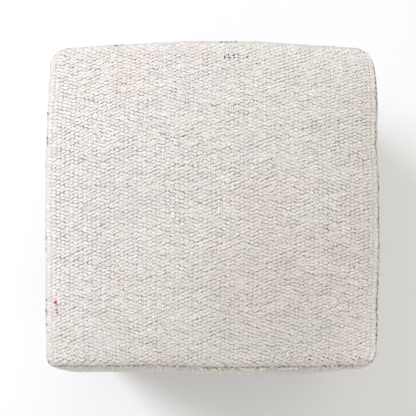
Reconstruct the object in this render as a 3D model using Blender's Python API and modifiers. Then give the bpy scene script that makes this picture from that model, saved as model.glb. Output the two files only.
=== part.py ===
# Cube pouf stool: a firmly stuffed square cushion covered with six panels of coarse
# handwoven cloth, sewn edge to edge.
# Metres, +Z up. It stands on Z = 0, with its origin under the middle of its box.
# +X is the right-hand side and +Y the back for someone who faces the front panel.

from collections import namedtuple

import bmesh
import bpy
from mathutils import Vector

# Driving dimensions. Seams are measured over the outside of the cloth.
SEAM_WIDTH = 0.392
SEAM_DEPTH = 0.383
TOP_SEAM_HEIGHT = 0.370
BASE_SEAM_HEIGHT = 0.011
BASE_INSET = 0.008  # each side of the base seam lies this much further in
CLOTH = 0.003
SEWING_GAP = 0.0003  # between a panel and the stuffed body, and between two panels
PRESSED_EDGE = 0.6  # share of the cloth's thickness that is left where it is sewn

# How the surface is divided: each panel has this many cells each way, and the first
# cell inside a seam is the narrow strip in which the cloth rounds over the edge.
PANEL_CELLS = 16
CELL_CROWDING = 1.8

UPRIGHT_BOW = 0.012  # how far the upright seams stand out at half height, across the corner
UPRIGHT_FULLNESS = 3.6  # a higher number makes them flare out sooner below the top seam
SETTLED = 0.25  # how far below the middle the stuffing makes the sides widest
COLLECTION = "cube_pouf_stool"

X, Y, Z = 0, 1, 2

# The six panels. A panel faces along side, and its two directions are the axes across
# and along, in the order that makes its front face outwards. It stands proud of its
# seams by crown, and a higher roundness makes it fuller beside the seams.
Panel = namedtuple("Panel", "name side across along crown roundness")
PANELS = (
    Panel("top_panel", (0, 0, 1), X, Y, 0.022, 2.6),
    Panel("base_panel", (0, 0, -1), Y, X, 0.024, 2.8),
    Panel("front_panel", (0, -1, 0), X, Z, 0.007, 3.0),
    Panel("back_panel", (0, 1, 0), Z, X, 0.008, 3.4),
    Panel("left_panel", (-1, 0, 0), Z, Y, 0.007, 3.4),
    Panel("right_panel", (1, 0, 0), Y, Z, 0.008, 3.4),
)

# How far the long seams of the top and the base bow outwards at their middle.
Seam = namedtuple("Seam", "side top_bow base_bow")
SEAMS = (
    Seam((0, -1), 0.001, 0.003),
    Seam((0, 1), 0.008, 0.005),
    Seam((-1, 0), 0.003, 0.004),
    Seam((1, 0), 0.004, 0.003),
)

# The four corners in plan: the radius that the seams of the top and the base turn
# with, and how much lower the top one sits than the seams beside it.
Corner = namedtuple("Corner", "side radius drop")
CORNERS = (
    Corner((-1, -1), 0.009, 0.002),
    Corner((1, -1), 0.013, 0.003),
    Corner((-1, 1), 0.017, 0.004),
    Corner((1, 1), 0.014, 0.003),
)
ARC_MIDDLE = 1 - 0.5**0.5  # how far inside its tangents a round corner's middle lies

# Soft rises and hollows of the stuffing, placed in each panel's own -1 to 1 directions.
Lump = namedtuple("Lump", "panel across along reach height")
LUMPS = (
    Lump("top_panel", -0.45, 0.40, 0.40, 0.0014),
    Lump("top_panel", 0.50, 0.15, 0.35, -0.0012),
    Lump("top_panel", 0.10, -0.55, 0.45, 0.0012),
    Lump("front_panel", -0.40, 0.10, 0.40, 0.0018),
    Lump("front_panel", 0.45, -0.30, 0.35, -0.0016),
    Lump("back_panel", 0.30, -0.35, 0.45, 0.0018),
    Lump("back_panel", -0.35, 0.40, 0.40, -0.0014),
    Lump("left_panel", 0.20, 0.35, 0.45, 0.0016),
    Lump("left_panel", -0.30, -0.40, 0.35, -0.0014),
    Lump("right_panel", 0.40, 0.20, 0.40, 0.0016),
    Lump("right_panel", -0.35, -0.25, 0.40, -0.0014),
)

# Finish: linear colour, roughness and metallic value.
Finish = namedtuple("Finish", "colour roughness metallic")
WOVEN_CLOTH = Finish((0.72, 0.68, 0.63, 1.0), 0.95, 0.0)
BASE_CLOTH = Finish((0.60, 0.56, 0.50, 1.0), 0.95, 0.0)
STUFFING = Finish((0.82, 0.80, 0.76, 1.0), 0.90, 0.0)


def clear_scene():
    for old in list(bpy.data.objects):
        bpy.data.objects.remove(old, do_unlink=True)


def make_collection(name):
    collection = bpy.data.collections.new(name)
    bpy.context.scene.collection.children.link(collection)
    return collection


def make_material(name, finish):
    material = bpy.data.materials.new(name)
    material.use_nodes = True
    shader = material.node_tree.nodes["Principled BSDF"]
    shader.inputs["Base Color"].default_value = finish.colour
    shader.inputs["Roughness"].default_value = finish.roughness
    shader.inputs["Metallic"].default_value = finish.metallic
    material.diffuse_color = finish.colour
    return material


def corner_row(cube):
    return next(row for row in CORNERS if row.side == (cube[X], cube[Y]))


def corner_point(cube):
    """Where three seams meet; cube holds -1 or 1 for each axis."""
    row = corner_row(cube)
    wrap = CLOTH + SEWING_GAP
    inset = 0.0 if cube[Z] > 0 else BASE_INSET
    reach_x = SEAM_WIDTH / 2 - wrap - inset - row.radius * ARC_MIDDLE
    reach_y = SEAM_DEPTH / 2 - wrap - inset - row.radius * ARC_MIDDLE
    if cube[Z] > 0:
        height = TOP_SEAM_HEIGHT - wrap - row.drop
    else:
        height = BASE_SEAM_HEIGHT + wrap
    return Vector((cube[X] * reach_x, cube[Y] * reach_y, height))


def arc_inset(row, away):
    """How far a round corner lies inside its tangent, at a distance from its middle."""
    left = row.radius * (1 - ARC_MIDDLE) - away
    return row.radius - (row.radius**2 - left**2) ** 0.5 if left > 0 else 0.0


def seam_point(cube, axis):
    """A point on the seam that runs along axis, at cube[axis] from -1 to 1."""
    start, end = cube.copy(), cube.copy()
    start[axis], end[axis] = -1.0, 1.0
    place = cube[axis]
    share = (1 + place) / 2
    first, last = corner_point(start), corner_point(end)
    point = first.lerp(last, share)
    if axis == Z:
        outwards = Vector((cube[X], cube[Y], 0)).normalized()
        return point + outwards * UPRIGHT_BOW * (1 - abs(place) ** UPRIGHT_FULLNESS)

    outwards = Vector((cube[X], cube[Y], 0))
    outwards[axis] = 0
    seam = next(row for row in SEAMS if row.side == (outwards[X], outwards[Y]))
    bow = seam.top_bow if cube[Z] > 0 else seam.base_bow
    first_row, last_row = corner_row(start), corner_row(end)
    length = (last - first).length
    straight = ARC_MIDDLE * (first_row.radius * (1 - share) + last_row.radius * share)
    turned = arc_inset(first_row, length * share) + arc_inset(last_row, length * (1 - share))
    point += outwards * (bow * (1 - place * place) + straight - turned)
    if cube[Z] > 0:
        drop = first_row.drop * (1 - share) + last_row.drop * share
        point.z += drop * (1 - place**2)
    return point


def swell(place, roundness):
    return 1 - abs(place) ** roundness


def settle(place, axis):
    """Moves the fullest line of an upright direction below its middle."""
    return place + SETTLED * (1 - place * place) if axis == Z else place


def lumps_at(panel, across, along):
    height = 0.0
    for lump in LUMPS:
        if lump.panel == panel.name:
            away = (across - lump.across) ** 2 + (along - lump.along) ** 2
            height += lump.height * 2.718 ** (-away / lump.reach**2)
    return height * (1 - across**2) * (1 - along**2)


def stuffed_point(panel, across, along):
    """The stuffed body's surface: its four seams, filled in between and swollen outwards."""
    side = Vector(panel.side)
    cube = side.copy()
    cube[panel.across], cube[panel.along] = across, along

    def seam_at(axis, other, end):
        on_seam = cube.copy()
        on_seam[other] = end
        return seam_point(on_seam, axis)

    def corner_at(end_across, end_along):
        on_corner = cube.copy()
        on_corner[panel.across], on_corner[panel.along] = end_across, end_along
        return corner_point(on_corner)

    low_across, high_across = (1 - across) / 2, (1 + across) / 2
    low_along, high_along = (1 - along) / 2, (1 + along) / 2
    point = seam_at(panel.across, panel.along, -1) * low_along
    point += seam_at(panel.across, panel.along, 1) * high_along
    point += seam_at(panel.along, panel.across, -1) * low_across
    point += seam_at(panel.along, panel.across, 1) * high_across
    point -= corner_at(-1, -1) * low_across * low_along
    point -= corner_at(1, -1) * high_across * low_along
    point -= corner_at(-1, 1) * low_across * high_along
    point -= corner_at(1, 1) * high_across * high_along

    full = panel.crown
    full *= swell(settle(across, panel.across), panel.roundness)
    full *= swell(settle(along, panel.along), panel.roundness)
    return point + side * (full + lumps_at(panel, across, along))


def surface_normal(panel, across, along):
    step = 0.004
    limit = 0.97
    near_across = max(-limit, min(limit, across))
    near_along = max(-limit, min(limit, along))
    run_across = stuffed_point(panel, near_across + step, near_along)
    run_across -= stuffed_point(panel, near_across - step, near_along)
    run_along = stuffed_point(panel, near_across, near_along + step)
    run_along -= stuffed_point(panel, near_across, near_along - step)
    return run_across.cross(run_along).normalized()


def lifted_point(panel, across, along, lift):
    """A point held off the stuffed body's surface, and pressed flat where it rests."""
    point = stuffed_point(panel, across, along)
    point += surface_normal(panel, across, along) * lift
    if panel.side[Z] < 0:
        point.z = max(point.z, CLOTH + SEWING_GAP - lift)
    return point


def crowd(place):
    """Moves an even grid place towards the seams, where the surface turns fastest."""
    crowded = 1 - (1 - abs(place)) ** CELL_CROWDING
    return crowded if place > 0 else -crowded


def add_panel_grid(mesh, panel, lift, seam_inset):
    """Adds one panel's grid of triangles to the mesh, lifted off the stuffed surface."""
    made = bmesh.ops.create_grid(mesh, x_segments=PANEL_CELLS, y_segments=PANEL_CELLS, size=1)
    half_span = min(SEAM_WIDTH, SEAM_DEPTH) / 2
    limit = 1 - seam_inset / half_span
    for vertex in made["verts"]:
        across = max(-limit, min(limit, crowd(vertex.co.x)))
        along = max(-limit, min(limit, crowd(vertex.co.y)))
        vertex.co = lifted_point(panel, across, along, lift)
    faces = {face for vertex in made["verts"] for face in vertex.link_faces}
    bmesh.ops.triangulate(mesh, faces=list(faces), quad_method="FIXED")
    return made["verts"]


def finish_object(name, mesh, material, collection):
    data = bpy.data.meshes.new(name)
    mesh.to_mesh(data)
    mesh.free()
    data.materials.append(material)
    data.shade_smooth()
    made = bpy.data.objects.new(name, data)
    collection.objects.link(made)
    return made


def make_filled_body(collection):
    """The stuffed cushion: one closed solid, crowned, and drawn in along its seams."""
    mesh = bmesh.new()
    for panel in PANELS:
        add_panel_grid(mesh, panel, lift=0.0, seam_inset=0.0)
    bmesh.ops.remove_doubles(mesh, verts=mesh.verts[:], dist=1e-6)
    bmesh.ops.recalc_face_normals(mesh, faces=mesh.faces[:])
    material = make_material("stuffing", STUFFING)
    return finish_object("filled_body", mesh, material, collection)


def make_panel(panel, collection):
    """One sheet of cloth that lies on the stuffed body and thins at its sewn edge."""
    mesh = bmesh.new()
    add_panel_grid(mesh, panel, lift=SEWING_GAP, seam_inset=SEWING_GAP * 0.6)
    finish = BASE_CLOTH if panel.side[Z] < 0 else WOVEN_CLOTH
    material = make_material(panel.name.replace("panel", "cloth"), finish)
    edge = [vertex.index for vertex in mesh.verts if vertex.is_boundary]
    made = finish_object(panel.name, mesh, material, collection)

    inside = made.vertex_groups.new(name="full_cloth")
    indices = set(range(len(made.data.vertices))) - set(edge)
    inside.add(sorted(indices), 1.0, "REPLACE")
    thick = made.modifiers.new("cloth", "SOLIDIFY")
    thick.thickness = CLOTH
    thick.offset = 1.0
    thick.vertex_group = inside.name
    thick.thickness_vertex_group = PRESSED_EDGE
    return made


def centre_on_base(pieces, stand):
    """Shifts the stand so that the origin lies under the middle of the whole box."""
    bpy.context.view_layer.update()
    depsgraph = bpy.context.evaluated_depsgraph_get()
    places = []
    for piece in pieces:
        shown = piece.evaluated_get(depsgraph)
        places += [shown.matrix_world @ vertex.co for vertex in shown.data.vertices]
    for axis in (X, Y):
        values = [place[axis] for place in places]
        stand.location[axis] = -(min(values) + max(values)) / 2


def main():
    clear_scene()
    collection = make_collection(COLLECTION)
    stand = bpy.data.objects.new("pouf_stand_point", None)
    collection.objects.link(stand)
    pieces = [make_filled_body(collection)]
    pieces += [make_panel(panel, collection) for panel in PANELS]
    for piece in pieces:
        piece.parent = stand
    centre_on_base(pieces, stand)


main()
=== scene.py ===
import math
from functools import partial
from itertools import product

import bpy
import numpy as np
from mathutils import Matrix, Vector


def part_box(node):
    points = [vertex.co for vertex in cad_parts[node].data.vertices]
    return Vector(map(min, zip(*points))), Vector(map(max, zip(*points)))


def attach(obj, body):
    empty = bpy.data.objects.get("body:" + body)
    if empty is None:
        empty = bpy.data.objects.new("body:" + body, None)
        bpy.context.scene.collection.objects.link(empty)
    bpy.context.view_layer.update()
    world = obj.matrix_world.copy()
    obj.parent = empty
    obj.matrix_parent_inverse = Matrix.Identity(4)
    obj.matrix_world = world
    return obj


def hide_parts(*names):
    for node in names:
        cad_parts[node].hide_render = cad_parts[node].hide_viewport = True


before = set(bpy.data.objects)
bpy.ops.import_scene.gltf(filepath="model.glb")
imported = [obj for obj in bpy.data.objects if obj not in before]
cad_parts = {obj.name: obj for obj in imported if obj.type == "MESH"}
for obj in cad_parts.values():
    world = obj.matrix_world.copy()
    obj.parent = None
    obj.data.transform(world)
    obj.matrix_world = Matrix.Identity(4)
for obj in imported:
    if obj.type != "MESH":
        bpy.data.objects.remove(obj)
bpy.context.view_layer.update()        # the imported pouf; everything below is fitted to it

x, y, z = 0, 1, 2


# The pouf's form, in metres. These are its solids' sizes, but the corners are rounder, and seamBulge
# moves the right seam a little out and the front one a little in.
pouf = {
    "seamWidth": 0.392,  # left seam to right seam, over the cloth
    "seamDepth": 0.383,
    "topSeamHeight": 0.370,
    "baseSeamHeight": 0.011,
    "baseInset": 0.008,
    "cloth": 0.003,
    "sewingGap": 0.0003,
    "uprightBow": 0.012,
    "uprightFullness": 3.6,
    "settled": 0.25,
    "seamBows": {(0, -1): (0.001, 0.003), (0, 1): (0.008, 0.005),
                 (-1, 0): (0.003, 0.004), (1, 0): (0.004, 0.003)},  # side: top bow, base bow
    "seamWaves": {(0, -1): (3.57, 0.11, 0.0016), (0, 1): (4.3, 1.2, 0.0007),
                  (-1, 0): (3.9, 0.4, 0.0006), (1, 0): (4.8, 2.0, 0.0008)},  # waves, phase, height
    "shortWave": (0.35, 2.7, 2.1, 1.0),  # beside the long one: height, waves, phase's share and start
    "seamBulge": {(1, 0): (0.80, 0.26, 0.0034), (0, -1): (0.66, 0.42, -0.0021)},  # place, reach, height
    "corners": {(-1, -1): (0.011, 0.002), (1, -1): (0.017, 0.003),
                (-1, 1): (0.019, 0.004), (1, 1): (0.021, 0.003)},  # side: radius, drop
}
arcMiddle = 1 - 0.5**0.5

# One row for each panel. Weft is the way its rows run and rise the way they are stacked. A lump is its
# place across and along, reach and height, and the front's last two make its ends fuller.
panels = {
    "top": {
        "node": "top_panel", "side": (0, 0, 1), "across": x, "along": y,
        "crown": 0.022, "roundness": 2.6, "weft": (1, 0, 0), "rise": (0, 1, 0),
        "lumps": ((-0.45, 0.40, 0.40, 0.0014), (0.50, 0.15, 0.35, -0.0012), (0.10, -0.55, 0.45, 0.0012)),
    },
    "front": {
        "node": "front_panel", "side": (0, -1, 0), "across": x, "along": z,
        "crown": 0.0065, "roundness": 5.0, "weft": (1, 0, 0), "rise": (0, 0, 1),
        "lumps": ((-0.40, 0.10, 0.40, 0.0018), (0.45, -0.30, 0.35, -0.0016), (-0.98, 0.50, 0.17, 0.025),
                  (0.72, 0.40, 0.42, 0.0056)),
    },
    "back": {
        "node": "back_panel", "side": (0, 1, 0), "across": z, "along": x,
        "crown": 0.008, "roundness": 3.4, "weft": (-1, 0, 0), "rise": (0, 0, 1),
        "lumps": ((0.30, -0.35, 0.45, 0.0018), (-0.35, 0.40, 0.40, -0.0014)),
    },
    "left": {
        "node": "left_panel", "side": (-1, 0, 0), "across": z, "along": y,
        "crown": 0.007, "roundness": 3.4, "weft": (0, -1, 0), "rise": (0, 0, 1),
        "lumps": ((0.20, 0.35, 0.45, 0.0016), (-0.30, -0.40, 0.35, -0.0014)),
    },
    "right": {
        "node": "right_panel", "side": (1, 0, 0), "across": y, "along": z,
        "crown": 0.008, "roundness": 3.4, "weft": (0, 1, 0), "rise": (0, 0, 1),
        "lumps": ((0.40, 0.20, 0.40, 0.0016), (-0.35, -0.25, 0.40, -0.0014)),
    },
    "base": {
        "node": "base_panel", "side": (0, 0, -1), "across": y, "along": x,
        "crown": 0.024, "roundness": 2.8, "weft": (1, 0, 0), "rise": (0, -1, 0),
        "lumps": (),
    },
}


def cornerPoint(signs):
    radius, drop = pouf["corners"][(signs[x], signs[y])]
    wrap = pouf["cloth"] + pouf["sewingGap"]
    inset = 0.0 if signs[z] > 0 else pouf["baseInset"]
    reachX = pouf["seamWidth"] / 2 - wrap - inset - radius * arcMiddle
    reachY = pouf["seamDepth"] / 2 - wrap - inset - radius * arcMiddle
    height = pouf["topSeamHeight"] - wrap - drop if signs[z] > 0 else pouf["baseSeamHeight"] + wrap
    return np.array([signs[x] * reachX, signs[y] * reachY, height])


def arcInset(radius, away):
    left = np.maximum(radius * (1 - arcMiddle) - away, 0)
    return radius - np.sqrt(radius**2 - left**2)


def seamPoints(signs, axis, place):
    # points on the seam that runs along axis, at place from -1 to 1
    start, end = list(signs), list(signs)
    start[axis], end[axis] = -1, 1
    first, last = cornerPoint(start), cornerPoint(end)
    share = (1 + place) / 2
    points = first + (last - first) * share[:, None]
    if axis == z:
        outwards = np.array([signs[x], signs[y], 0]) / 2**0.5
        bow = pouf["uprightBow"] * (1 - np.abs(place) ** pouf["uprightFullness"])
        return points + outwards * bow[:, None]
    outwards = np.array([signs[x], signs[y], 0])
    outwards[axis] = 0
    bow = pouf["seamBows"][(outwards[x], outwards[y])][0 if signs[z] > 0 else 1]
    (firstRadius, firstDrop), (lastRadius, lastDrop) = (
        pouf["corners"][(end[x], end[y])] for end in (start, end))
    length = np.linalg.norm(last - first)
    straight = arcMiddle * (firstRadius * (1 - share) + lastRadius * share)
    turned = arcInset(firstRadius, length * share) + arcInset(lastRadius, length * (1 - share))
    points = points + outwards * (bow * (1 - place**2) + straight - turned)[:, None]
    if signs[z] > 0:
        points[:, z] += (firstDrop * (1 - share) + lastDrop * share) * (1 - place**2)
    waves, phase, height = pouf["seamWaves"][(outwards[x], outwards[y])]
    low, more, phaseShare, start = pouf["shortWave"]
    wave = np.sin(waves * place + phase) + low * np.sin(more * waves * place + phaseShare * phase + start)
    middle, reach, bulge = pouf["seamBulge"].get((outwards[x], outwards[y]), (0.0, 1.0, 0.0))
    out = height * wave + bulge * np.exp(-((place - middle) / reach) ** 2)
    return points + outwards * (out * (1 - place**6))[:, None]


def stuffedPoints(panel, cube):
    # the stuffed body's surface, for places on the side of a cube from -1 to 1
    across, along = panel["across"], panel["along"]
    a, b = cube[:, across], cube[:, along]

    def signsAt(**fixed):
        signs = [int(value) for value in panel["side"]]
        for name, value in fixed.items():
            signs[panel[name]] = value
        return signs

    points = np.zeros((len(cube), 3))
    for end in (-1, 1):
        points += seamPoints(signsAt(along=end), across, a) * ((1 + end * b) / 2)[:, None]
        points += seamPoints(signsAt(across=end), along, b) * ((1 + end * a) / 2)[:, None]
        for other in (-1, 1):
            share = (1 + end * a) * (1 + other * b) / 4
            points -= cornerPoint(signsAt(across=end, along=other)) * share[:, None]

    def swell(place, axis):
        settled = place + pouf["settled"] * (1 - place**2) if axis == z else place
        return 1 - np.abs(settled) ** panel["roundness"]

    full = panel["crown"] * swell(a, across) * swell(b, along)
    for lumpA, lumpB, reach, height in panel["lumps"]:
        away = (a - lumpA) ** 2 + (b - lumpB) ** 2
        full = full + height * np.exp(-away / reach**2) * (1 - a**2) * (1 - b**2)
    return points + np.array(panel["side"]) * full[:, None]


def surfaceNormals(panel, cube):
    step, limit = 0.004, 0.97
    near = np.clip(cube, -limit, limit)
    near[:, np.nonzero(panel["side"])[0]] = sum(panel["side"])
    weft, rise = np.array(panel["weft"]) * step, np.array(panel["rise"]) * step
    run = stuffedPoints(panel, near + weft) - stuffedPoints(panel, near - weft)
    climb = stuffedPoints(panel, near + rise) - stuffedPoints(panel, near - rise)
    normals = np.cross(run, climb)
    return normals / np.linalg.norm(normals, axis=1)[:, None], run / np.linalg.norm(run, axis=1)[:, None]


# The cover's cloth: how it rounds over into the seams, and how the sewing puckers it.
cover = {
    "ground": 0.0023,  # height of the ground cloth over the stuffed body
    "thickness": 0.0012,
    "edgeRound": 0.0105,  # width of the strip that rolls over into the seam
    "seamOut": 0.0020,  # where the two cloths meet, out from the body along both of their sides
    "seamGap": 0.0002,
    "cornerDraw": 0.65,  # how far the corners are drawn back in
    "rollCurve": 2.2,
    "edgeInset": 0.0004,
    "cells": 60,
    "bodyCells": 24,
    "crowding": 1.9,  # how much closer the cells lie beside the seams
    "pucker": {"top": 0.0004, "base": 0.0003},
    "otherPuckers": 0.0008,
    "puckerReach": 0.016,
    "puckerFade": 1.5,
    "puckerLengths": (0.031, 0.047, 0.083),
    "puckerShares": (0.45, 0.35, 0.20),
    "puckerPhases": (1.7, 2.3, 0.9),  # from seam to seam, ripple to ripple and panel to panel
}


def puckerAt(name, alongSeam, fromSeam, seamNumber):
    # the sewing gathers the cloth beside a seam into short soft ripples
    height = 0
    bySeam, byRipple, byPanel = cover["puckerPhases"]
    for number, (length, share) in enumerate(zip(cover["puckerLengths"], cover["puckerShares"])):
        phase = bySeam * seamNumber + byRipple * number + byPanel * len(name)
        height = height + share * np.sin(2 * math.pi * alongSeam / length + phase)
    fade = np.exp(-((fromSeam / cover["puckerReach"]) ** cover["puckerFade"]))
    return cover["pucker"].get(name, cover["otherPuckers"]) * height * fade


def cubePlaces(panel, u, v):
    # places on the panel's side of a cube, for u along the weft and v up the panel, from -1 to 1
    return np.array(panel["side"], float) + np.outer(u, panel["weft"]) + np.outer(v, panel["rise"])


def coverPoints(name, u, v, lift):
    # those places on the cloth, at a lift over the stuffed body, with its normals and its grain
    panel = panels[name]
    cube = cubePlaces(panel, u, v)
    points = stuffedPoints(panel, cube)
    normals, grain = surfaceNormals(panel, cube)
    halfU = np.abs(np.array(panel["weft"]) @ np.array([pouf["seamWidth"], pouf["seamDepth"], 0])) / 2
    halfV = pouf["topSeamHeight"] / 2 if panel["side"][z] == 0 else pouf["seamDepth"] / 2
    fromU, fromV = (1 - np.abs(u)) * halfU, (1 - np.abs(v)) * halfV
    ripple = puckerAt(name, u * halfU, fromV, 1 + (v > 0)) + puckerAt(name, v * halfV, fromU, 3 + (u > 0))
    rollU, rollV = (np.clip(1 - away / cover["edgeRound"], 0, 1) ** cover["rollCurve"]
                    for away in (fromU, fromV))
    roll = np.maximum(rollU, rollV)
    drawn = 1 - cover["cornerDraw"] * rollU * rollV
    points = points + normals * ((lift + ripple) * (1 - roll))[:, None]
    out = cover["seamOut"] + lift - cover["ground"]
    points = points + np.array(panel["side"]) * (out * roll * drawn)[:, None]
    outU, outV = (np.sign(place) * (cover["seamOut"] * share * drawn - cover["seamGap"] * share)
                  for place, share in ((u, rollU), (v, rollV)))
    points = points + np.outer(outU, panel["weft"]) + np.outer(outV, panel["rise"])
    if panel["side"][z] < 0:
        floor = pouf["cloth"] + pouf["sewingGap"] - lift
        resting = points[:, z] < floor
        points[resting, z] = floor
        normals[resting] = panel["side"]
        grain[resting, z] = 0
    return points + placeShift, normals, grain


def findPlaceShift():
    # the solids' origin lies under the middle of their box, so the form is moved to it
    panel = panels["top"]
    places = np.linspace(-1, 1, 9)
    seam = [seamPoints((0, end, 1), x, places) for end in (-1, 1)]
    seam += [seamPoints((end, 0, 1), y, places) for end in (-1, 1)]
    seam = np.concatenate(seam)
    low, high = (np.array(corner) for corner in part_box(panel["node"]))
    shift = (low + high) / 2 - (seam.min(axis=0) + seam.max(axis=0)) / 2
    shift[z] = 0
    return shift


placeShift = findPlaceShift()
print("form fitted to the frame, moved by", [round(float(value), 5) for value in placeShift])


def openSocket(node, name):
    usable = [socket for socket in node.inputs if socket.enabled]
    if isinstance(name, int):
        return usable[name]
    return next(socket for socket in usable if name in (socket.name, socket.identifier))


def addNode(tree, kind, inputs=None, **settings):
    node = tree.nodes.new(kind)
    for name, value in settings.items():
        setattr(node, name, value)
    for name, value in (inputs or {}).items():
        if isinstance(value, bpy.types.NodeSocket):
            tree.links.new(value, openSocket(node, name))
        else:
            openSocket(node, name).default_value = value
    return node


def maths(tree, operation, *values):
    return addNode(tree, "ShaderNodeMath", dict(enumerate(values)), operation=operation).outputs[0]


def arithmetic(tree, *operations):
    # a short call for each of the operations on the tree's values
    return [partial(maths, tree, operation) for operation in operations]


def vector(tree, *parts):
    return addNode(tree, "ShaderNodeCombineXYZ", dict(enumerate(parts))).outputs[0]


def vectorMaths(tree, operation, first, second):
    made = addNode(tree, "ShaderNodeVectorMath", {0: first, 1: second}, operation=operation)
    return made.outputs["Value" if operation in ("DISTANCE", "DOT_PRODUCT") else "Vector"]


def mapRange(tree, value, fromMin, fromMax, toMin, toMax, **settings):
    return addNode(tree, "ShaderNodeMapRange", {
        "Value": value, "From Min": fromMin, "From Max": fromMax, "To Min": toMin, "To Max": toMax},
        **settings).outputs[0]


def noise(tree, place, scale, detail=2.0, roughness=0.5):
    return addNode(tree, "ShaderNodeTexNoise", {
        "Vector": place, "Scale": scale, "Detail": detail, "Roughness": roughness}).outputs["Fac"]


def named(tree, name, kind="FLOAT_VECTOR"):
    return addNode(tree, "GeometryNodeInputNamedAttribute", {"Name": name}, data_type=kind).outputs[0]


def randomBetween(tree, seed, low, high, extra):
    return addNode(tree, "FunctionNodeRandomValue", {
        "Min": low, "Max": high, "Seed": maths(tree, "ADD", seed, float(extra))},
        data_type="FLOAT").outputs["Value"]


def turnedTo(tree, outwards, along, angle):
    # sets an instance's z outwards and its x along, and then turns it about its own z
    facing = addNode(tree, "FunctionNodeAxesToRotation", {
        "Primary Axis": outwards, "Secondary Axis": along}, primary_axis="Z", secondary_axis="X").outputs[0]
    turn = addNode(tree, "FunctionNodeEulerToRotation", {"Euler": vector(tree, 0.0, 0.0, angle)}).outputs[0]
    return addNode(tree, "FunctionNodeRotateRotation", {
        "Rotation": facing, "Rotate By": turn}, rotation_space="LOCAL").outputs[0]


def newTree(name, inputs):
    # a Geometry Nodes tree with named inputs, given for each kind of socket
    tree = bpy.data.node_groups.new(name, "GeometryNodeTree")
    tree.interface.new_socket("Geometry", in_out="INPUT", socket_type="NodeSocketGeometry")
    for kind, inputNames in inputs.items():
        for inputName in inputNames:
            tree.interface.new_socket(inputName, in_out="INPUT", socket_type="NodeSocket" + kind)
    tree.interface.new_socket("Geometry", in_out="OUTPUT", socket_type="NodeSocketGeometry")
    return tree, tree.nodes.new("NodeGroupInput").outputs


def endTree(tree, instances, material):
    real = addNode(tree, "GeometryNodeRealizeInstances", {"Geometry": instances}).outputs[0]
    smooth = addNode(tree, "GeometryNodeSetShadeSmooth", {"Geometry": real}).outputs[0]
    done = addNode(tree, "GeometryNodeSetMaterial", {"Geometry": smooth, "Material": material}).outputs[0]
    addNode(tree, "NodeGroupOutput", {0: done})


def runTree(source, tree, name, values):
    # sets the modifier's inputs by identifier, then keeps the evaluated result as a plain mesh
    modifier = source.modifiers.new(name, "NODES")
    modifier.node_group = tree
    identifiers = {item.name: item.identifier for item in tree.interface.items_tree if item.in_out == "INPUT"}
    for inputName, value in values.items():
        modifier[identifiers[inputName]] = value
    made = plainCopy(source, name)
    source.modifiers.remove(modifier)
    return made


def newObject(name, data):
    made = bpy.data.objects.new(name, data)
    bpy.context.scene.collection.objects.link(made)
    return made


def plainCopy(source, name):
    bpy.context.view_layer.update()
    shown = source.evaluated_get(bpy.context.evaluated_depsgraph_get())
    mesh = bpy.data.meshes.new_from_object(shown)
    mesh.name = name
    return newObject(name, mesh)


def applyModifier(made, modifier, meshName):
    copy, old = plainCopy(made, meshName), made.data
    made.modifiers.remove(modifier)
    made.data = copy.data
    bpy.data.objects.remove(copy)
    bpy.data.meshes.remove(old)


def meshObject(name, points, faces):
    mesh = bpy.data.meshes.new(name)
    mesh.from_pydata([tuple(point) for point in points], [], faces)
    mesh.shade_smooth()
    return newObject(name, mesh)


def addAttribute(mesh, name, values):
    kind, field = ("FLOAT", "value") if np.ndim(values) == 1 else ("FLOAT_VECTOR", "vector")
    mesh.attributes.new(name, kind, "POINT").data.foreach_set(field, np.ravel(values))


# The panel's flat map: its outer faces, then a gap, then a strip for the faces that look inwards.
bakeMap = {"shownWidth": 0.95, "hiddenStart": 0.955, "hiddenWidth": 0.04}


def addBakeMap(made, panel):
    mesh = made.data
    corners = np.empty(len(mesh.loops), int)
    mesh.loops.foreach_get("vertex_index", corners)
    places = np.empty(len(mesh.vertices) * 3)
    mesh.vertices.foreach_get("co", places)
    places = places.reshape(-1, 3)
    flat = np.stack([places @ np.array(panel["weft"]), places @ np.array(panel["rise"])], 1)
    flat = (flat - flat.min(axis=0)) / np.ptp(flat, axis=0)
    normals = np.empty(len(mesh.polygons) * 3)
    mesh.polygons.foreach_get("normal", normals)
    inwards = normals.reshape(-1, 3) @ np.array(panel["side"]) < 0
    sizes = np.empty(len(mesh.polygons), int)
    mesh.polygons.foreach_get("loop_total", sizes)
    inwards = np.repeat(inwards, sizes)
    shown = flat[corners] * (bakeMap["shownWidth"], 1.0)
    hidden = flat[corners] * (bakeMap["hiddenWidth"], 1.0) + (bakeMap["hiddenStart"], 0.0)
    layer = mesh.uv_layers.new(name="OFBake")
    layer.data.foreach_set("uv", np.where(inwards[:, None], hidden, shown).ravel())


def newMaterial(name):
    material = bpy.data.materials.new(name)
    material.use_nodes = True
    return material, material.node_tree, material.node_tree.nodes["Principled BSDF"]


def plainMaterial(name, colour, roughness, specular=0.5):
    material, _, shader = newMaterial(name)
    shader.inputs["Base Color"].default_value = (*colour, 1)
    shader.inputs["Roughness"].default_value = roughness
    shader.inputs["Specular IOR Level"].default_value = specular
    return material


def objectPlace(tree):
    return addNode(tree, "ShaderNodeTexCoord").outputs["Object"]


def attributeValue(tree, name):
    return addNode(tree, "ShaderNodeAttribute", attribute_name=name).outputs["Fac"]


def ramp(tree, factor, *stops):
    node = addNode(tree, "ShaderNodeValToRGB", {"Fac": factor})
    elements = node.color_ramp.elements
    for number, (place, colour) in enumerate(stops):
        element = elements[number] if number < 2 else elements.new(place)
        element.position = place
        element.color = (*colour, 1)
    return node.outputs["Color"]


def mixColour(tree, factor, first, second):
    node = addNode(tree, "ShaderNodeMix", {"Factor": factor, "A": first, "B": second}, data_type="RGBA")
    return node.outputs["Result"] if node.outputs["Result"].enabled else node.outputs[2]


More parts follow.
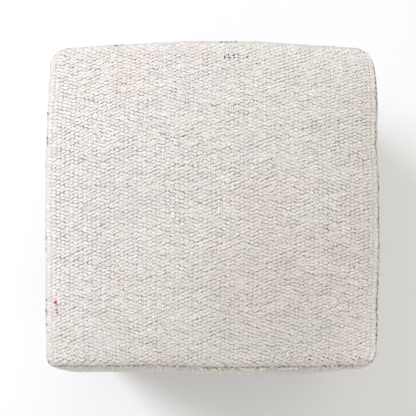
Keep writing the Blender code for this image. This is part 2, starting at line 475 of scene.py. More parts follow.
def dress(tree, shader, colour, relief, strength, depth):
    # gives the shader its colour, and a bump from the relief
    tree.links.new(colour, shader.inputs["Base Color"])
    bump = addNode(tree, "ShaderNodeBump", {"Height": relief, "Strength": strength, "Distance": depth})
    tree.links.new(bump.outputs[0], shader.inputs["Normal"])


yarn = {
    "shade": (0.64, 0.592, 0.550),
    "middle": (0.765, 0.721, 0.680),
    "light": (0.865, 0.836, 0.806),
    "hem": (0.66, 0.635, 0.605),
    # tan, grey and rose patches: colour, the noise at which each starts and is full, and strength
    "patches": (((0.64, 0.55, 0.45), 0.58, 0.75, 0.18), ((0.56, 0.55, 0.54), 0.54, 0.74, 0.20),
                ((0.74, 0.65, 0.62), 0.50, 0.72, 0.24)),
    "patchScale": 11.0,
    "patchesApart": (3.1, 1.7, 0.4),
    # where use has stained the cloth, and darker patches on the top's front right, partly the cloth's own
    # tone and partly painted shade on the side away from the light: place x and y, reach, colour and strength
    "stainsAndShade": (((0.060, -0.090), 0.100, (0.60, 0.535, 0.50), 0.32),
             ((-0.152, 0.136), 0.012, (0.66, 0.53, 0.46), 0.28),
             ((0.165, -0.080), 0.070, (0.63, 0.575, 0.47), 0.22),
             ((0.120, -0.185), 0.080, (0.60, 0.55, 0.53), 0.30)),
    "stainsAndShadeRag": (45.0, 1.2),  # its ragged edge: scale, and size as a share of the reach
    "stainsAndShadeEdge": (1.25, 0.25),  # where it starts and is full, as shares of the reach
    "fleckScale": 800.0,
    "fleck": 0.46,
    "fibreScale": 900.0,
    "fibreBump": 0.00025,
    "roughness": (0.82, 0.98),
    "sheen": (0.25, 0.5),  # weight and roughness
}


def yarnMaterial(name):
    material, tree, shader = newMaterial(name)
    plus, minus, times = arithmetic(tree, "ADD", "SUBTRACT", "MULTIPLY")
    place = objectPlace(tree)
    colour = ramp(tree, attributeValue(tree, "tone"),
                  (0.12, yarn["shade"]), (0.5, yarn["middle"]), (0.9, yarn["light"]))
    apartX, apartY, apartZ = yarn["patchesApart"]
    for number, (tint, low, high, most) in enumerate(yarn["patches"]):
        moved = addNode(tree, "ShaderNodeMapping", {
            "Vector": place, "Location": (apartX * number, apartY * number, apartZ)})
        patches = noise(tree, moved.outputs[0], yarn["patchScale"], 3.0, 0.6)
        colour = mixColour(tree, mapRange(tree, patches, low, high, 0.0, most), colour, (*tint, 1))
    ragScale, ragSize = yarn["stainsAndShadeRag"]
    start, full = yarn["stainsAndShadeEdge"]
    # stains, and on the top's front right, patches that are partly painted shade
    for (spotX, spotY), reach, tint, most in yarn["stainsAndShade"]:
        away = vectorMaths(tree, "DISTANCE", place, (spotX, spotY, pouf["topSeamHeight"]))
        rag = minus(noise(tree, place, ragScale, 3.0, 0.6), 0.5)
        ragged = plus(away, times(rag, ragSize * reach))
        share = mapRange(tree, ragged, start * reach, full * reach, 0.0, most,
                         interpolation_type="SMOOTHSTEP")
        colour = mixColour(tree, share, colour, (*tint, 1))
    flecks = noise(tree, place, yarn["fleckScale"], 2.0, 0.6)
    flecks = mapRange(tree, flecks, 0.25, 0.75, 1 - yarn["fleck"], 1 + yarn["fleck"])
    fibres = noise(tree, place, yarn["fibreScale"], 2.0, 0.6)
    dress(tree, shader, vectorMaths(tree, "SCALE", colour, flecks), fibres, 0.6, yarn["fibreBump"])
    tree.links.new(mapRange(tree, fibres, 0.3, 0.7, *yarn["roughness"]), shader.inputs["Roughness"])
    sheen, sheenRoughness = yarn["sheen"]
    shader.inputs["Sheen Weight"].default_value = sheen
    shader.inputs["Sheen Roughness"].default_value = sheenRoughness
    shader.inputs["Specular IOR Level"].default_value = 0.2
    return material


def groundAndShadeMaterial(name):
    # the warp, with painted shade for the shadowed inside of the weave, which shows only between the floats
    material, tree, shader = newMaterial(name)
    grain = noise(tree, objectPlace(tree), 420.0, 3.0, 0.6)
    # painted shade: near-black to dark brown, for the shadow in the pits between the floats
    colour = ramp(tree, grain, (0.3, (0.04, 0.035, 0.033)), (0.7, (0.22, 0.195, 0.185)))
    # beside the seams the bare hem shows its own yarn colour instead of the painted shade
    colour = mixColour(tree, attributeValue(tree, "hem"), colour, (*yarn["hem"], 1))
    dress(tree, shader, colour, grain, 0.8, 0.0006)
    shader.inputs["Roughness"].default_value = 0.95
    return material


def stuffingMaterial(name):
    material, tree, shader = newMaterial(name)
    wisps = noise(tree, objectPlace(tree), 120.0, 5.0, 0.65)
    colour = ramp(tree, wisps, (0.3, (0.62, 0.60, 0.56)), (0.7, (0.84, 0.82, 0.79)))
    dress(tree, shader, colour, wisps, 0.7, 0.002)
    shader.inputs["Roughness"].default_value = 0.95
    return material


def threadMaterial(name):
    material, tree, shader = newMaterial(name)
    # the darkest thread colours, most of them on the front and right seams, are partly painted shade in the
    # grooves there
    colour = ramp(tree, attributeValue(tree, "tone"), (0.0, (0.13, 0.10, 0.065)),
                  (0.35, (0.27, 0.215, 0.145)), (0.6, (0.50, 0.42, 0.30)), (1.0, (0.86, 0.82, 0.73)))
    dress(tree, shader, colour, noise(tree, objectPlace(tree), 1500.0), 0.6, 0.0002)
    shader.inputs["Roughness"].default_value = 0.85
    return material


# The weave: every float of weft yarn that shows.
weave = {
    "floatPitch": 0.00555,  # from one warp to the next
    "rowPitch": 0.00438,  # from one float to the next in the same column
    "length": 1.36,  # a float's length and width, in pitches
    "width": 0.89,
    "height": 0.00066,  # over the ground cloth
    "sunk": 0.12,  # how much of its height lies under the ground cloth
    "tip": 0.5,  # a float's outline, as shares of its length and width
    "shoulder": (0.31, 0.45),
    "crestTip": 0.46,
    "crestShoulder": (0.29, 0.40),
    "ridge": 0.30,
    "warpHalf": (0.17, 0.36),  # the warp that shows between two floats: half its width and its length
    "warpRidge": 0.24,
    "warpHeight": 1.05,
    "margin": 0.0006,
    "hem": {"top": (0.0006, 0.0020)},  # how wide it is bare along the near seam and the others
    "otherHems": (0.0015, 0.0015),
    "ragged": (-0.0005, 0.0012),  # how far the floats' edge strays into the hem and out of it
    "nearSteepness": 2.5,  # beside the near seam the hem ends this much quicker
    "fade": 0.013,  # the floats sink into the drawn cloth over this width beside the hem
    "flattest": 0.35,  # and are this share of their height there
    "extraRows": 8.0,  # more than fit, as the slant brings others over the edge
    "wander": 0.0010,
    "wanderReach": 0.055,
    "quickWander": (3.2, 0.5),  # a second wander: how much quicker, and its share of the first
    "calmEdge": 0.006,  # the columns run straighter this near to a side seam
    "jitter": 0.00042,
    "unevenness": 0.11,  # how much each float differs from the next
    "slub": 0.05,  # how much the yarn is thick and thin by turns
    "slubScale": (28.0, 0.83),  # how quickly, for each metre and for each weft
    "shade": 0.25,  # how much a weft's tone changes along it
    "shadeScale": (16.0, 0.71),
    "toneJitter": 0.10,
    "nearPaintedShade": 0.0,  # painted shade: the floats along the near seam, where the cloth rolls into it, are the darkest
    "nearShadeReach": 0.012,
    "tilt": 0.16,  # how far a float turns on the cloth
    "lean": 0.4,  # and how far all of them turn alike, as a share of that
    "turns": (0.9, 0.5, 1.6),  # the shares of chance, of every other column and of drift in a turn
    "driftPace": 1.7,  # against the wander's
    "seed": 11,
    # the rows' slant at each panel's near and far edge
    "skew": {"top": (0.045, 0.012), "front": (0.01, -0.01), "back": (-0.01, 0.01),
             "left": (0.01, 0.01), "right": (-0.01, 0.0), "base": (0.0, 0.0)},
    "stretch": {"top": 0.004, "front": 0.003, "back": 0.003, "left": 0.003, "right": 0.003, "base": 0.0},
}


def makeFloatShape(name, fine):
    # one float of the weft, a unit long, wide and high, and the bit of warp that shows beside it
    def ring(tip, shoulder, height):
        a, b = shoulder
        return [(tip, 0, height), (a, b, height), (-a, b, height),
                (-tip, 0, height), (-a, -b, height), (a, -b, height)]

    points = ring(weave["tip"], weave["shoulder"], -weave["sunk"])
    if fine:
        points += ring(weave["crestTip"], weave["crestShoulder"], 1.0)
        around = [(number, (number + 1) % 6) for number in range(6)]
        faces = [(a, b, 6 + b, 6 + a) for a, b in around] + [(6, 7, 8, 9, 10, 11)]
    else:
        points += [(weave["ridge"], 0, 1), (-weave["ridge"], 0, 1)]
        faces = [(0, 1, 6), (1, 2, 7, 6), (2, 3, 7), (3, 4, 7), (4, 5, 6, 7), (5, 0, 6)]
    faces.append((5, 4, 3, 2, 1, 0))
    first = len(points)
    halfWidth, halfLength = weave["warpHalf"]
    middle = 0.5 / weave["width"]
    points += [(halfWidth * a, middle + halfLength * b, -weave["sunk"])
               for a, b in ((1, -1), (1, 1), (-1, 1), (-1, -1))]
    points += [(0, middle + end * weave["warpRidge"], weave["warpHeight"]) for end in (-1, 1)]
    faces += [tuple(first + number for number in face) for face in (
        (0, 1, 5, 4), (1, 2, 5), (2, 3, 4, 5), (3, 0, 4), (3, 2, 1, 0))]
    shape = meshObject(name, points, faces)
    if fine:
        for edge in shape.data.edges:
            edge.use_edge_sharp = all(5 < corner < 12 for corner in edge.vertices)  # so the crest looks flat
    return shape


def makeWeaveTree():
    tree, given = newTree("wovenFloats", {
        "Float": ("Float Pitch", "Row Pitch", "Width", "Length", "Margin", "Float Length", "Float Width",
                  "Float Height", "Wander", "Wander Reach", "Jitter", "Unevenness", "Slub", "Hem Front",
                  "Hem", "Fade", "Tilt", "Lean", "Near Tone", "Stretch", "Skew Front", "Skew Back"),
        "Object": ("Float Shape",), "Int": ("Seed",), "Material": ("Yarn",)})
    plus, minus, times = arithmetic(tree, "ADD", "SUBTRACT", "MULTIPLY")
    over, least = arithmetic(tree, "DIVIDE", "MINIMUM")
    between = partial(randomBetween, tree, given["Seed"])
    columns = maths(tree, "ROUND", over(given["Width"], given["Float Pitch"]))
    inside = maths(tree, "ROUND", over(given["Length"], given["Row Pitch"]))
    rows = plus(inside, weave["extraRows"])
    index = addNode(tree, "GeometryNodeInputIndex").outputs[0]
    column = maths(tree, "FLOOR", over(plus(index, 0.5), rows))
    row = minus(index, times(column, rows))
    odd = maths(tree, "MODULO", column, 2.0)  # each column is half a row off the next
    weft = plus(times(row, 2.0), odd)
    plainU = over(plus(column, 0.5), columns)
    evenV = over(plus(times(odd, 0.5), minus(row, weave["extraRows"] / 2 - 0.25)), inside)
    # the rows lie further apart in the middle, where the stuffing stretches the cloth
    bunched = maths(tree, "SINE", times(evenV, 2 * math.pi))
    plainV = minus(evenV, times(bunched, given["Stretch"]))

    def along(share, size):  # a place in metres from the cloth's edge, inside the margin
        return plus(given["Margin"], times(share, minus(size, times(given["Margin"], 2.0))))

    placeU, placeV = along(plainU, given["Width"]), along(plainV, given["Length"])
    seed = times(given["Seed"], 7.31)  # sets each panel's noise apart

    def fieldNoise(place, pace, detail=1.0):  # from -1 to 1
        return times(minus(noise(tree, place, pace, detail), 0.5), 2.0)

    def around(extra, spread):  # near 1
        return plus(1.0, times(between(-1.0, 1.0, extra), spread))

    reach = over(1.0, given["Wander Reach"])
    quicker, quickShare = weave["quickWander"]
    quickReach = times(reach, quicker)

    def wander(place, extra):
        slow = times(fieldNoise(place, reach), given["Wander"])
        quick = times(fieldNoise(place, quickReach), times(given["Wander"], quickShare))
        return plus(plus(slow, quick), times(between(-1.0, 1.0, extra), given["Jitter"]))

    shiftV = wander(vector(tree, placeU, placeV, seed), 21)
    shiftU = wander(vector(tree, placeV, seed, placeU), 22)
    calmU = least(1.0, over(least(placeU, minus(given["Width"], placeU)), weave["calmEdge"]))
    skew = plus(given["Skew Front"], times(evenV, minus(given["Skew Back"], given["Skew Front"])))
    slant = times(skew, minus(placeU, times(given["Width"], 0.5)))
    finalU = plus(placeU, times(times(shiftU, 0.5), calmU))
    finalV = plus(placeV, plus(shiftV, slant))
    # the hem beside the seams is bare, ragged at its edge, and the floats next to it are drawn flat
    fromSides = least(finalU, minus(given["Width"], finalU))
    fromHem = minus(least(fromSides, minus(given["Length"], finalV)), given["Hem"])
    fromNear = times(minus(finalV, given["Hem Front"]), weave["nearSteepness"])
    fromEdge = least(fromHem, fromNear)
    onCloth = maths(tree, "GREATER_THAN", fromEdge, between(*weave["ragged"], 31))
    raised = mapRange(tree, fromEdge, 0.0, given["Fade"], weave["flattest"], 1.0)
    clothPlace = vector(tree, over(finalU, given["Width"]), over(finalV, given["Length"]), 0.0)
    weaveMap = named(tree, "weaveMap")

    def sample(value):
        return addNode(tree, "GeometryNodeSampleUVSurface", {
            "Mesh": given["Geometry"], "Value": value, "Source UV Map": weaveMap,
            "Sample UV": clothPlace}, data_type="FLOAT_VECTOR").outputs[0]

    placeOn = sample(addNode(tree, "GeometryNodeInputPosition").outputs[0])
    normal, grain = sample(named(tree, "outwards")), sample(named(tree, "grain"))

    # hand-spun yarn is thick and thin by turns, and each weft has its own shade
    def alongYarn(scale, depth):
        place = vector(tree, times(placeU, scale[0]), times(weft, scale[1]), depth)
        return fieldNoise(place, 1.0, 2.0)

    slub, shade = alongYarn(weave["slubScale"], seed), alongYarn(weave["shadeScale"], plus(seed, 9.0))
    # painted shade: the floats darken towards the near seam, where the cloth rolls into the seam
    nearSeamShade = mapRange(tree, fromNear, 0.0, weave["nearShadeReach"], given["Near Tone"], 0.5)
    jitter = between(-weave["toneJitter"], weave["toneJitter"], 3)
    tone = plus(nearSeamShade, plus(times(shade, weave["shade"]), jitter))
    thick = plus(1.0, times(slub, given["Slub"]))
    uneven = given["Unevenness"]
    size = vector(
        tree, times(times(given["Float Pitch"], given["Float Length"]), around(5, times(uneven, 0.6))),
        times(times(given["Row Pitch"], given["Float Width"]), times(thick, around(6, uneven))),
        times(times(given["Float Height"], raised), times(thick, around(7, uneven))))
    points = addNode(tree, "GeometryNodePoints", {
        "Count": times(columns, rows), "Position": placeOn}).outputs[0]
    # the tone is kept before the floats are placed, as the selection below counts them anew
    points = addNode(tree, "GeometryNodeStoreNamedAttribute", {
        "Geometry": points, "Name": "tone", "Value": tone}, data_type="FLOAT", domain="POINT").outputs[0]
    shape = addNode(tree, "GeometryNodeObjectInfo", {"Object": given["Float Shape"]}).outputs["Geometry"]
    # floats lean a little by turns, and more in some places than in others
    chance, byColumns, byDrift = weave["turns"]
    lean = plus(times(minus(odd, 0.5), byColumns), given["Lean"])
    drift = fieldNoise(vector(tree, placeU, seed, placeV), times(reach, weave["driftPace"]))
    angle = plus(between(-chance, chance, 8), plus(lean, times(drift, byDrift)))
    floats = addNode(tree, "GeometryNodeInstanceOnPoints", {
        "Points": points, "Selection": onCloth, "Instance": shape,
        "Rotation": turnedTo(tree, normal, grain, times(angle, given["Tilt"])), "Scale": size}).outputs[0]
    endTree(tree, floats, given["Yarn"])
    return tree


def crowd(place):
    return np.sign(place) * (1 - (1 - np.abs(place)) ** cover["crowding"])


def gridPlaces(count):
    line = crowd(np.linspace(-1, 1, count))
    return line, [(row * count + column) for row in range(count - 1) for column in range(count - 1)]


def gridFaces(starts, count):
    return [(at, at + 1, at + count + 1, at + count) for at in starts]


def makeCloth(name):
    # one panel's ground cloth: a thin closed sheet with its weave's directions kept on it
    count = cover["cells"] + 1
    line, starts = gridPlaces(count)
    line = line * (1 - cover["edgeInset"] / pouf["seamWidth"])
    u, v = (grid.ravel() for grid in np.meshgrid(line, line))
    points, normals, grain = coverPoints(name, u, v, cover["ground"])
    cloth = meshObject(name + "Cloth", points, gridFaces(starts, count))
    mesh = cloth.data
    addAttribute(mesh, "outwards", normals)
    addAttribute(mesh, "grain", grain)
    rows = points.reshape(count, count, 3)
    halfU = np.linalg.norm(np.diff(rows[count // 2], axis=0), axis=1).sum() / 2
    halfV = np.linalg.norm(np.diff(rows[:, count // 2], axis=0), axis=1).sum() / 2
    hemFront, hemRest = weave["hem"].get(name, weave["otherHems"])
    away = np.minimum((1 - np.abs(u)) * halfU, (1 - v) * halfV) - hemRest
    away = np.minimum(away, ((1 + v) * halfV - hemFront) * weave["nearSteepness"])
    addAttribute(mesh, "hem", np.clip(1 - away / weave["fade"], 0, 1))
    layer = mesh.uv_layers.new(name="weaveMap")
    order = np.empty(len(mesh.loops), int)
    mesh.loops.foreach_get("vertex_index", order)
    layer.data.foreach_set("uv", (np.stack([u, v], 1)[order] / 2 + 0.5).ravel())
    return cloth, float(2 * halfU), float(2 * halfV)


def makeWeave(name, cloth, spanU, spanV, tree, shape, material, seed):
    hemFront, hemRest = weave["hem"].get(name, weave["otherHems"])
    skewFront, skewBack = weave["skew"][name]
    made = runTree(cloth, tree, name + "Weave", {
        "Float Pitch": weave["floatPitch"], "Row Pitch": weave["rowPitch"], "Width": spanU, "Length": spanV,
        "Margin": weave["margin"], "Float Length": weave["length"], "Float Width": weave["width"],
        "Float Height": weave["height"], "Wander": weave["wander"], "Wander Reach": weave["wanderReach"],
        "Jitter": weave["jitter"], "Unevenness": weave["unevenness"], "Slub": weave["slub"],
        "Float Shape": shape, "Hem Front": hemFront, "Hem": hemRest, "Fade": weave["fade"],
        "Tilt": weave["tilt"], "Lean": weave["lean"], "Near Tone": weave["nearPaintedShade"],
        "Stretch": weave["stretch"][name], "Skew Front": skewFront, "Skew Back": skewBack,
        "Seed": seed, "Yarn": material})
    addBakeMap(made, panels[name])
    return made


def thicken(cloth, panel):
    solid = cloth.modifiers.new("cloth", "SOLIDIFY")
    solid.thickness = cover["thickness"]
    solid.offset = -1.0
    applyModifier(cloth, solid, cloth.name + "Solid")
    addBakeMap(cloth, panel)


def makeStuffedBody():
    count = cover["bodyCells"] + 1
    line, starts = gridPlaces(count)
    u, v = (grid.ravel() for grid in np.meshgrid(line, line))
    points, faces = [], []
    for panel in panels.values():
        side = stuffedPoints(panel, cubePlaces(panel, u, v))
        if panel["side"][z] < 0:
            side[:, z] = np.maximum(side[:, z], pouf["cloth"] + pouf["sewingGap"])
        faces += gridFaces([len(points) + start for start in starts], count)
        points += list(side + placeShift)
    body = meshObject("stuffedBody", points, faces)
    weld = body.modifiers.new("seams", "WELD")
    weld.merge_threshold = 0.00001
    applyModifier(body, weld, "stuffedBodyWelded")
    return body


# The sewing, and with "fray" before a name, the frayed ends of its yarn.
stitches = {
    "length": 0.0062,
    "thread": 0.0011,
    "spacing": 0.0060,
    "turn": 0.5,
    "spread": (0.0008, 0.0006),  # how far a stitch strays, at random and out over the side panel
    "tone": (0.0, 0.6),
    "seed": 5,
    "frayLength": 0.0034,
    "frayThread": 0.0013,
    "fraySpacing": 0.0018,
    "frayTurn": 1.5,
    "fraySpread": (0.0015, 0.0024),
    "frayTone": (0.45, 1.15),
    "fraySeed": 9,
    # how much of each shows on each seam; the dark thread shown most on the front and right top seams, which
    # face away from the light, is partly painted shade in their grooves
    "shown": {(0, -1, 1): 1.0, (1, 0, 1): 0.85, (-1, 0, 1): 0.08, (0, 1, 1): 0.03},
    "shownElsewhere": 0.4,
    "frayShown": {(0, -1, 1): 2.3},
    "frayShownElsewhere": 0.0,
    # stretches where more of the sewing shows: place, reach, and how much more
    "inSight": {(0, 1, 1): ((-0.56, 0.10, 0.5), (0.12, 0.09, 0.9)), (-1, 0, 1): ((-0.85, 0.22, 0.35),)},
    "hiddenScale": 38.0,  # the sewing dips out of sight in some stretches
    "hiddenShare": (0.35, 1.4),  # the share that shows at least, and how much more at most
    "lift": 0.0022,  # up and out from the stuffed body, in the groove between two cloths
    "sunk": 0.6,  # the share of that lift on the seams below the top's
    "lean": 0.0012,  # towards the top panel, where the side's cloth stands out beyond the sewing
    "leanUp": 1.35,  # and up, as a share of that
    "cornerReach": 0.1,
    # each seam's sewing stops before its corners, where it would stand out of the cloth
    "frontEnd": 0.90,
    "sideEnd": 0.93,
    "uprightEnd": 0.90,
    "leftUprightEnd": 0.98,
    "neatLeft": (-0.45, 0.25, 0.12),  # at the front's left end it frays less: place, reach, least
    "pathEnd": 0.995,
    "pathPoints": 90,
}


def makeStitchTree():
    tree, given = newTree("seamStitches", {
        "Float": ("Stitch Length", "Thread", "Spacing", "Turn", "Spread", "Overhang", "Low Tone",
                  "High Tone"),
        "Int": ("Seed",), "Material": ("Material",)})
    plus, times = arithmetic(tree, "ADD", "MULTIPLY")
    between = partial(randomBetween, tree, given["Seed"])
    path = addNode(tree, "GeometryNodeMeshToCurve", {"Mesh": given["Geometry"]}).outputs[0]
    spaced = addNode(tree, "GeometryNodeResampleCurve", {
        "Curve": path, "Length": given["Spacing"]}, mode="LENGTH")
    tangent = addNode(tree, "GeometryNodeInputTangent").outputs[0]
    angle = times(between(-1.0, 1.3, 1), given["Turn"])
    size = vector(
        tree, times(given["Stitch Length"], between(0.5, 1.3, 2)),
        times(given["Thread"], between(0.6, 1.4, 3)), times(given["Thread"], between(0.8, 1.5, 4)))
    anyWay = vector(tree, *(between(-1.0, 1.0, 11 + part) for part in range(3)))
    stray = vectorMaths(tree, "SCALE", anyWay, given["Spread"])
    overhang = times(given["Overhang"], between(-0.2, 1.4, 14))
    aside = vectorMaths(tree, "SCALE", named(tree, "sideways"), overhang)
    moved = addNode(tree, "GeometryNodeSetPosition", {
        "Geometry": spaced.outputs[0], "Offset": vectorMaths(tree, "ADD", stray, aside)}).outputs[0]
    place = addNode(tree, "GeometryNodeInputPosition").outputs[0]
    always, atTimes = stitches["hiddenShare"]
    buried = noise(tree, place, stitches["hiddenScale"], 1.0)
    share = times(named(tree, "share", "FLOAT"), plus(always, times(buried, atTimes)))
    seen = maths(tree, "LESS_THAN", between(0.0, 1.0, 6), share)
    ball = addNode(tree, "GeometryNodeMeshUVSphere", {"Segments": 5, "Rings": 5, "Radius": 0.5}).outputs[0]
    lying = addNode(tree, "GeometryNodeTransform", {
        "Geometry": ball, "Rotation": (0.0, math.pi / 2, 0.0)}).outputs[0]
    made = addNode(tree, "GeometryNodeInstanceOnPoints", {
        "Points": moved, "Selection": seen, "Instance": lying,
        "Rotation": turnedTo(tree, named(tree, "outwards"), tangent, angle), "Scale": size}).outputs[0]
    toned = addNode(tree, "GeometryNodeStoreNamedAttribute", {
        "Geometry": made, "Name": "tone", "Value": between(given["Low Tone"], given["High Tone"], 5)},
        data_type="FLOAT", domain="INSTANCE").outputs[0]
    endTree(tree, toned, given["Material"])
    return tree


def seamRuns():
    # every seam as its signs and axis
    for axis in (x, y, z):
        for ends in product((-1, 1), repeat=2):
            signs = list(ends)
            signs.insert(axis, 0)
            yield signs, axis


def sewingShift(signs, place):
    # from the stuffed body's seam to where the sewing lies
    shift = np.abs(np.array(signs, float)) * stitches["lift"]
    if signs[z] > 0 and signs[y] >= 0:
        shift += np.where(shift > 0, -stitches["lean"], 0)
        shift[z] += stitches["leanUp"] * stitches["lean"]
    if signs[z] <= 0:
        shift *= stitches["sunk"]
    reach = stitches["cornerReach"]
    ends = np.clip((np.abs(place) - (1 - reach)) / reach, 0, 1)
    return np.sign(signs) * np.outer(1 - cover["cornerDraw"] * ends, shift)


def sewn(signs, axis, place):
    # where along a seam there is sewing
    if axis == z:
        return place <= stitches["leftUprightEnd" if signs[x] < 0 and signs[y] < 0 else "uprightEnd"]
    if signs[y] >= 0:
        return np.abs(place) <= stitches["sideEnd"]
    return place <= stitches["frontEnd"]


def makeSewing(name, tree, prefix, material):
    # the prefix is the start of the names of its values in the dictionary above
    def given(key):
        return stitches[prefix + key[0].upper() + key[1:] if prefix else key]

    points, edges, outwards, sideways, shown = [], [], [], [], []
    place = np.linspace(-stitches["pathEnd"], stitches["pathEnd"], stitches["pathPoints"])
    for signs, axis in seamRuns():
        away = np.array(signs, float)
        away /= np.linalg.norm(away)
        aside = np.array([signs[x], signs[y], 0.0]) / np.linalg.norm(signs[:2])
        run = seamPoints(signs, axis, place) + sewingShift(signs, place) + placeShift
        first = len(points)
        points += [tuple(point) for point in run]
        edges += [(first + number, first + number + 1) for number in range(len(run) - 1)]
        outwards += [away] * len(run)
        sideways += [aside] * len(run)
        share = np.full(len(run), given("shown").get(tuple(signs), given("shownElsewhere")))
        for middle, reach, more in stitches["inSight"].get(tuple(signs), ()) if not prefix else ():
            share = share + more * np.exp(-((place - middle) / reach) ** 4)
        share = np.where(sewn(signs, axis, place), share, 0)
        if prefix and axis != z and signs[y] < 0:
            neatPlace, neatReach, least = stitches["neatLeft"]
            share = share * np.clip((place - neatPlace) / neatReach, least, 1)
        shown += list(share)
    mesh = bpy.data.meshes.new("seamPath")
    mesh.from_pydata(points, edges, [])
    addAttribute(mesh, "outwards", outwards)
    addAttribute(mesh, "sideways", sideways)
    addAttribute(mesh, "share", shown)
    path = newObject("seamPath", mesh)
    made = runTree(path, tree, name, {
        "Stitch Length": given("length"), "Thread": given("thread"), "Spacing": given("spacing"),
        "Turn": given("turn"), "Spread": given("spread")[0], "Overhang": given("spread")[1],
        "Low Tone": given("tone")[0], "High Tone": given("tone")[1], "Seed": given("seed"),
        "Material": material})
    bpy.data.objects.remove(path)
    return made


# Bits of odd yarn caught in the top panel's weave: their colour, and each one's place u and v, length,
# width and turn.
snags = {
    "magenta": ((0.50, 0.012, 0.10), (
        (-0.9475, -0.615, 0.0031, 0.0024, 0.3), (-0.9425, -0.66, 0.0020, 0.0014, 0.1),
        (-0.9375, -0.68, 0.0024, 0.0012, -0.1))),
    "pink": ((0.62, 0.25, 0.32), (
        (-0.9375, -0.635, 0.0028, 0.0009, 0.0), (-0.9375, -0.57, 0.0014, 0.0012, 0.2),
        (-0.92, 0.9525, 0.0016, 0.0013, 0.0))),
    "black": ((0.035, 0.033, 0.033), (
        (0.0775, 0.8975, 0.0018, 0.0019, 0.2), (0.10, 0.9125, 0.0013, 0.0014, 0.9),
        (0.105, 0.895, 0.0026, 0.0014, 0.1), (0.2175, 0.90, 0.0015, 0.0016, 0.0))),
    "grey": ((0.19, 0.18, 0.17), (
        (0.1375, 0.8975, 0.0018, 0.0011, 0.1), (0.135, 0.915, 0.0014, 0.0011, 0.4),
        (0.1625, 0.9125, 0.0014, 0.0013, 0.8), (0.1625, 0.8975, 0.0016, 0.0012, 0.0),
        (0.275, 0.8575, 0.0016, 0.0013, 0.0), (0.2925, 0.8575, 0.0013, 0.0011, 0.5),
        (-0.9225, -0.475, 0.0012, 0.0012, 0.0), (0.6825, -0.1625, 0.0015, 0.0014, 0.0))),
    "tan": ((0.60, 0.47, 0.36), (
        (-0.5075, 0.93, 0.0040, 0.0011, 0.3), (-0.0825, 0.1625, 0.0036, 0.0011, -0.2),
        (0.365, 0.205, 0.0040, 0.0012, 0.4), (-0.04, 0.8625, 0.0034, 0.0010, 0.1))),
    "cream": ((0.90, 0.87, 0.82), (
        (0.465, -0.9325, 0.0055, 0.0012, 1.35), (0.44, -0.90, 0.0040, 0.0011, 1.2))),
}
snagShape = {
    "fullness": 1.4,  # for every length and width above
    "lift": 1.15,  # over the ground cloth, in floats' heights
    "rings": ((-0.3, 0.85), (0.0, 1.0), (0.3, 0.85)),  # places along a bit, and its width there
    "sides": 6,
    "flatness": 0.8,
}
pulledLoop = {
    "place": (0.8825, -0.955),
    "radius": 0.0027,
    "thread": 0.0014,
    "endThread": 0.35,  # as a share of the rest
    "opening": 1.1,  # the turn that is left open, and a little more at the other end
    "closing": 0.2,
    "raised": 0.0009,
    "arch": 0.0008,
    "rings": 14,
    "sides": 6,
}


def placeOnTop(u, v, lift):
    points, normals, grain = coverPoints("top", np.array([u]), np.array([v]), lift)
    return points[0], grain[0], np.cross(normals[0], grain[0]), normals[0]


def makeSnags():
    made = []
    sides = snagShape["sides"]
    for name, (colour, bits) in snags.items():
        points, faces = [], []
        for u, v, length, width, turn in bits:
            length, width = length * snagShape["fullness"], width * snagShape["fullness"]
            place, along, across, up = placeOnTop(u, v, cover["ground"] + snagShape["lift"] * weave["height"])
            along, across = (along * math.cos(turn) + across * math.sin(turn),
                             across * math.cos(turn) - along * math.sin(turn))
            first = len(points)
            points += [place - along * length / 2, place + along * length / 2]
            for share, thick in snagShape["rings"]:
                for number in range(sides):
                    around = number * math.pi / (sides / 2)
                    points.append(place + along * length * share + thick * width / 2 * (
                        across * math.cos(around) + snagShape["flatness"] * up * math.sin(around)))
            rings = [first + 2 + sides * number for number in range(len(snagShape["rings"]))]
            for number in range(sides):
                after = (number + 1) % sides
                faces.append((first, rings[0] + after, rings[0] + number))
                for low, high in zip(rings, rings[1:]):
                    faces.append((low + number, low + after, high + after, high + number))
                faces.append((first + 1, rings[-1] + number, rings[-1] + after))
        bit = meshObject(name + "Snag", points, faces)
        bit.data.materials.append(plainMaterial(name + "Yarn", colour, 0.9))
        made.append(bit)
    return made


def makePulledLoop(material):
    # an open ring of yarn that stands out of the weave by the near right corner
    place, along, across, up = placeOnTop(*pulledLoop["place"], cover["ground"] + weave["height"])
    place = place + up * pulledLoop["raised"]
    count, sides = pulledLoop["rings"], pulledLoop["sides"]
    points, faces = [], []
    for number in range(count):
        share = number / (count - 1)
        angle = pulledLoop["opening"] + share * (2 * math.pi - pulledLoop["opening"] - pulledLoop["closing"])
        out = along * math.cos(angle) + across * math.sin(angle)
        middle = place + out * pulledLoop["radius"] + up * pulledLoop["arch"] * math.sin(math.pi * share)
        thick = pulledLoop["thread"] / 2 * (pulledLoop["endThread"] if number in (0, count - 1) else 1.0)
        for side in range(sides):
            around = side * 2 * math.pi / sides
            points.append(middle + thick * (out * math.cos(around) + up * math.sin(around)))
    for number in range(count - 1):
        for side in range(sides):
            after = (side + 1) % sides
            low, high = number * sides, (number + 1) * sides
            faces.append((low + side, high + side, high + after, low + after))
    faces += [tuple(range(sides)), tuple(reversed(range((count - 1) * sides, count * sides)))]
    loop = meshObject("pulledLoop", points, faces)
    loop.data.materials.append(material)
    return loop


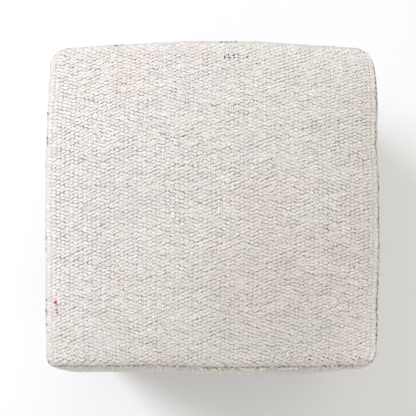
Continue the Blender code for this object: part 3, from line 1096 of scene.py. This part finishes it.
studio = {
    "cameraPlace": (0.0, -0.1243, 1.72),
    "cameraTurn": (math.radians(4.976), math.radians(0.2008), 0.0),
    "fieldOfView": 2 * math.atan(208 / 1137),
    "floorColour": (0.90, 0.90, 0.90),
    "floorReach": 6.0,
    "skyColour": (1.0, 0.99, 0.96, 1.0),
    # pale walls behind and at the right, and pale ceiling before and at the right: way and strength
    "skyLobes": {(0, 1, 0): 0.58, (1, 0, 0): 0.29, (0, -0.6, 0.8): 0.52, (0.6, 0, 0.8): 0.50},
    "backdrop": 0.93,  # how pale it looks beyond the floor, which adds nothing to the light
    "keyColour": (0.95, 0.975, 1.06),
    "keyAzimuth": math.radians(145),  # a broad window at the back left
    "keyHeight": math.radians(30),
    "keyAngle": math.radians(22),
    "keyStrength": 1.40,
    "nearPlace": (-1.3, 0.5, 0.9),  # the pane nearest to the pouf
    "nearAim": (0, 0, 0.2),
    "nearSize": 0.6,
    "nearPower": 9.2,
}


def makeCamera():
    data = bpy.data.cameras.new("camera")
    data.sensor_width = 36.0
    data.angle = studio["fieldOfView"]
    camera = newObject("camera", data)
    camera.location = studio["cameraPlace"]
    camera.rotation_euler = studio["cameraTurn"]
    bpy.context.scene.camera = camera


def makeFloor():
    reach = studio["floorReach"]
    corners = [(-reach, -reach, 0), (reach, -reach, 0), (reach, reach, 0), (-reach, reach, 0)]
    floor = meshObject("floor", corners, [(0, 1, 2, 3)])
    floor.data.materials.append(plainMaterial("paleFloor", studio["floorColour"], 0.8, 0.1))


def makeLight():
    scene = bpy.context.scene
    scene.view_settings.view_transform = "Standard"
    scene.world = bpy.data.worlds.new("studio")
    scene.world.use_nodes = True
    tree = scene.world.node_tree
    way = addNode(tree, "ShaderNodeTexCoord").outputs["Generated"]
    strength = 0.0
    for side, share in studio["skyLobes"].items():
        towards = maths(tree, "MAXIMUM", vectorMaths(tree, "DOT_PRODUCT", way, side), 0.0)
        strength = maths(tree, "ADD", strength, maths(tree, "MULTIPLY", towards, share))
    seen = addNode(tree, "ShaderNodeLightPath").outputs["Is Camera Ray"]
    strength = addNode(tree, "ShaderNodeMix", {
        "Factor": seen, "A": strength, "B": studio["backdrop"]}).outputs[0]
    sky = tree.nodes["Background"]
    sky.inputs["Color"].default_value = studio["skyColour"]
    tree.links.new(strength, sky.inputs["Strength"])

    def addLight(name, kind, towards, **settings):
        data = bpy.data.lights.new(name, kind)
        for setting, value in settings.items():
            setattr(data, setting, value)
        data.color = studio["keyColour"]
        light = newObject(name, data)
        light.rotation_euler = Vector(towards).to_track_quat("Z", "Y").to_euler()
        return light

    flat = math.cos(studio["keyHeight"])
    keyFrom = (flat * math.cos(studio["keyAzimuth"]), flat * math.sin(studio["keyAzimuth"]),
               math.sin(studio["keyHeight"]))
    addLight("key", "SUN", keyFrom, angle=studio["keyAngle"], energy=studio["keyStrength"])
    place, aim = Vector(studio["nearPlace"]), Vector(studio["nearAim"])
    near = addLight("near", "AREA", place - aim, size=studio["nearSize"], energy=studio["nearPower"])
    near.location = place


makeCamera()
makeLight()
makeFloor()
print("camera, light and floor placed")

yarnLook = yarnMaterial("wovenYarn")
groundAndShadeLook = groundAndShadeMaterial("weaveGround")
weaveTree = makeWeaveTree()
floatShapes = [makeFloatShape("fineFloat", True), makeFloatShape("plainFloat", False)]
body = makeStuffedBody()
body.data.materials.append(stuffingMaterial("stuffing"))
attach(body, "root")
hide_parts("filled_body")
print("stuffed body made")

for number, (name, panel) in enumerate(panels.items()):
    cloth, spanU, spanV = makeCloth(name)
    shape = floatShapes[0 if name == "top" else 1]
    floats = makeWeave(name, cloth, spanU, spanV, weaveTree, shape, yarnLook, weave["seed"] + number)
    thicken(cloth, panel)
    cloth.data.materials.append(groundAndShadeLook)
    for piece in (cloth, floats):
        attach(piece, "root")
    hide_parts(panel["node"])
    print(name, "panel woven:", len(floats.data.polygons), "faces", round(spanU, 4), "by", round(spanV, 4))

for shape in floatShapes:
    bpy.data.objects.remove(shape)
threadLook, stitchTree = threadMaterial("seamThread"), makeStitchTree()
thread = makeSewing("seamThread", stitchTree, "", threadLook)
frayed = makeSewing("frayedEnds", stitchTree, "fray", threadLook)
oddBits = makeSnags()
oddBits.append(makePulledLoop(bpy.data.materials["creamYarn"]))
for piece in (thread, frayed, *oddBits):
    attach(piece, "root")
print("seams sewn:", len(thread.data.polygons), "faces, frayed ends:", len(frayed.data.polygons))
